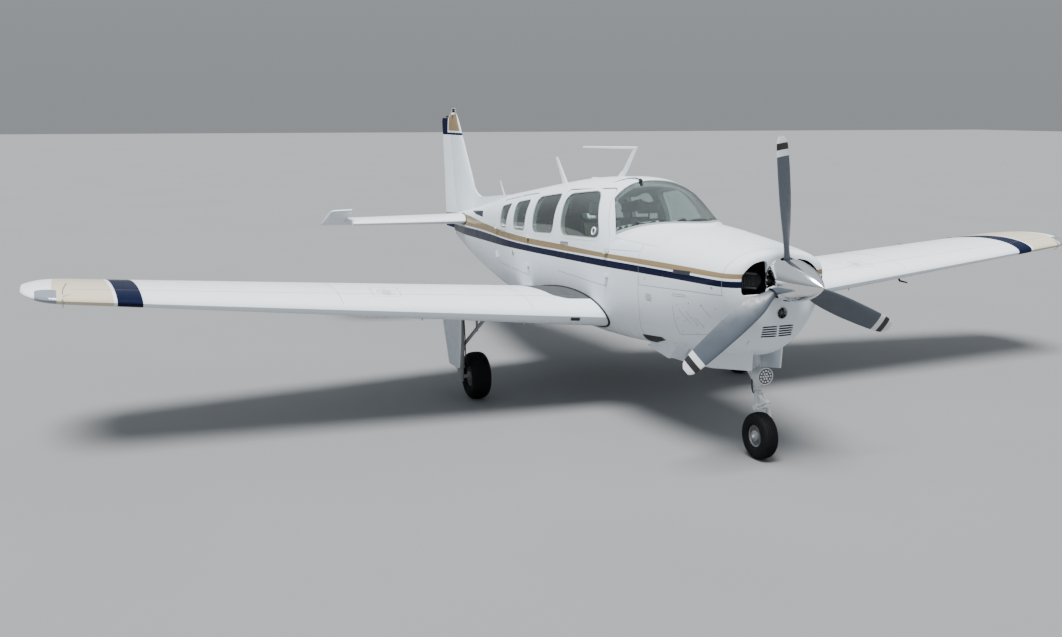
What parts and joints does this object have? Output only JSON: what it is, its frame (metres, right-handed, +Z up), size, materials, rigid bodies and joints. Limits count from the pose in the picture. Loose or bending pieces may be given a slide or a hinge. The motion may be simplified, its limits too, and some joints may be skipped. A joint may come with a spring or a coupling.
{
  "type": "light aircraft",
  "caption": "Low-wing single-engine light aircraft on tricycle gear, with hollow cabin, opening doors, moving control surfaces, free wheels and propeller.",
  "frame": {"origin": "on the ground, below the middle of the aircraft's box", "axes": "+X forward along the fuselage, +Y to port, +Z up"},
  "size_m": [8.3798, 10.21, 2.625],
  "materials": {
    "white_paint": "gloss white paint",
    "white_surface": "gloss white paint",
    "clear_glass": "clear with a green tint",
    "engine": "black",
    "gear_steel": "white and grey paint",
    "wheel_metal": "satin",
    "tyre": "matte black",
    "blade_paint": "satin grey with white and black tips",
    "polished": "polished",
    "panel_plastic": "matte dark",
    "seat_leather": "soft grey"
  },
  "bodies": {
    "airframe": {"cabin_belly": "white_paint", "cabin_roof": "white_paint", "forward_deck": "white_paint", "cabin_side_right": "white_paint", "cabin_side_left": "white_paint", "windscreen": "clear_glass", "window_right": "clear_glass", "window_left_1": "clear_glass", "window_left_2": "clear_glass", "window_left_3": "clear_glass", "window_left_4": "clear_glass", "firewall": "wheel_metal", "aft_bulkhead": "wheel_metal", "tailplane": "white_surface", "fin": "white_surface", "tail_cone": "white_paint", "wing_right": "white_surface", "wing_left": "white_surface", "wing_tip_right": "white_surface", "wing_tip_left": "white_surface", "nose_bowl": "white_paint", "cowling_upper": "white_paint", "cowling_lower": "white_paint", "engine_block": "engine", "nose_leg": "gear_steel", "main_leg_right": "gear_steel", "main_leg_left": "gear_steel", "main_door_right": "white_surface", "main_door_left": "white_surface", "nose_door_right": "white_surface", "nose_door_left": "white_surface", "instrument_panel": "panel_plastic", "seat_front_right": "seat_leather", "seat_front_left": "seat_leather", "seat_middle_right": "seat_leather", "seat_middle_left": "seat_leather", "seat_rear": "seat_leather", "antenna_mast": "white_surface"},
    "front_door": {"front_door": "white_paint", "front_door_window": "clear_glass"},
    "cargo_door_front": {"cargo_door_front": "white_paint", "cargo_window_front": "clear_glass"},
    "cargo_door_rear": {"cargo_door_rear": "white_paint", "cargo_window_rear": "clear_glass"},
    "flap_right": {"flap_right": "white_surface"},
    "flap_left": {"flap_left": "white_surface"},
    "aileron_right": {"aileron_right": "white_surface"},
    "aileron_left": {"aileron_left": "white_surface"},
    "elevators": {"elevators": "white_surface"},
    "rudder": {"rudder": "white_surface"},
    "propeller": {"propeller": "blade_paint", "spinner": "polished"},
    "nose_fork": {"nose_fork": "gear_steel"},
    "nose_wheel": {"nose_rim": "wheel_metal", "nose_tyre": "tyre"},
    "main_wheel_right": {"main_rim_right": "wheel_metal", "main_tyre_right": "tyre"},
    "main_wheel_left": {"main_rim_left": "wheel_metal", "main_tyre_left": "tyre"}
  },
  "joints": [
    {"name": "propeller_spin", "type": "hinge", "parent": "airframe", "child": "propeller", "pos_m": [3.778, 0, 1.405], "axis": [1, 0, 0], "continuous": true},
    {"name": "nose_steering", "type": "hinge", "parent": "airframe", "child": "nose_fork", "pos_m": [3.508, 0, 0.178], "axis": [-0.1811, 0, 0.9835], "range_deg": [-30, 30]},
    {"name": "nose_wheel_spin", "type": "hinge", "parent": "nose_fork", "child": "nose_wheel", "pos_m": [3.508, 0, 0.178], "axis": [0, 1, 0], "continuous": true},
    {"name": "main_wheel_right_spin", "type": "hinge", "parent": "airframe", "child": "main_wheel_right", "pos_m": [1.03, -1.4, 0.215], "axis": [0, 1, 0], "continuous": true},
    {"name": "main_wheel_left_spin", "type": "hinge", "parent": "airframe", "child": "main_wheel_left", "pos_m": [1.03, 1.4, 0.215], "axis": [0, 1, 0], "continuous": true},
    {"name": "front_door_hinge", "type": "hinge", "parent": "airframe", "child": "front_door", "pos_m": [2.024, -0.6, 1.18], "axis": [-0.0768, 0, 0.997], "range_deg": [0, 65]},
    {"name": "cargo_front_hinge", "type": "hinge", "parent": "airframe", "child": "cargo_door_front", "pos_m": [0.2525, -0.592, 1.04], "axis": [0, 0, 1], "range_deg": [0, 90]},
    {"name": "cargo_rear_hinge", "type": "hinge", "parent": "airframe", "child": "cargo_door_rear", "pos_m": [-0.794, -0.522, 1.04], "axis": [0.1103, 0, -0.9939], "range_deg": [0, 85]},
    {"name": "flap_right_hinge", "type": "hinge", "parent": "airframe", "child": "flap_right", "pos_m": [0.41428, -0.665, 0.82061], "axis": [0.1054, -0.9893, 0.1004], "range_deg": [0, 30]},
    {"name": "flap_left_hinge", "type": "hinge", "parent": "airframe", "child": "flap_left", "pos_m": [0.41428, 0.665, 0.82061], "axis": [-0.1054, -0.9893, -0.1004], "range_deg": [0, 30]},
    {"name": "aileron_right_hinge", "type": "hinge", "parent": "airframe", "child": "aileron_right", "pos_m": [0.60922, -2.785, 1.03356], "axis": [0.1097, -0.9893, 0.0965], "range_deg": [-20, 20]},
    {"name": "aileron_left_hinge", "type": "hinge", "parent": "airframe", "child": "aileron_left", "pos_m": [0.60922, 2.785, 1.03356], "axis": [-0.1097, -0.9893, -0.0965], "range_deg": [-20, 20]},
    {"name": "elevator_hinge", "type": "hinge", "parent": "airframe", "child": "elevators", "pos_m": [-3.3596, 0, 1.24], "axis": [0, -1, 0], "range_deg": [-41, 2]},
    {"name": "rudder_hinge", "type": "hinge", "parent": "airframe", "child": "rudder", "pos_m": [-3.587, 0, 1.02], "axis": [-0.2509, 0, 0.968], "range_deg": [-35, 15]}
  ],
  "couplings": [
    {"joint": "flap_left_hinge", "follows": "flap_right_hinge", "ratio": 1},
    {"joint": "aileron_left_hinge", "follows": "aileron_right_hinge", "ratio": -1}
  ]
}
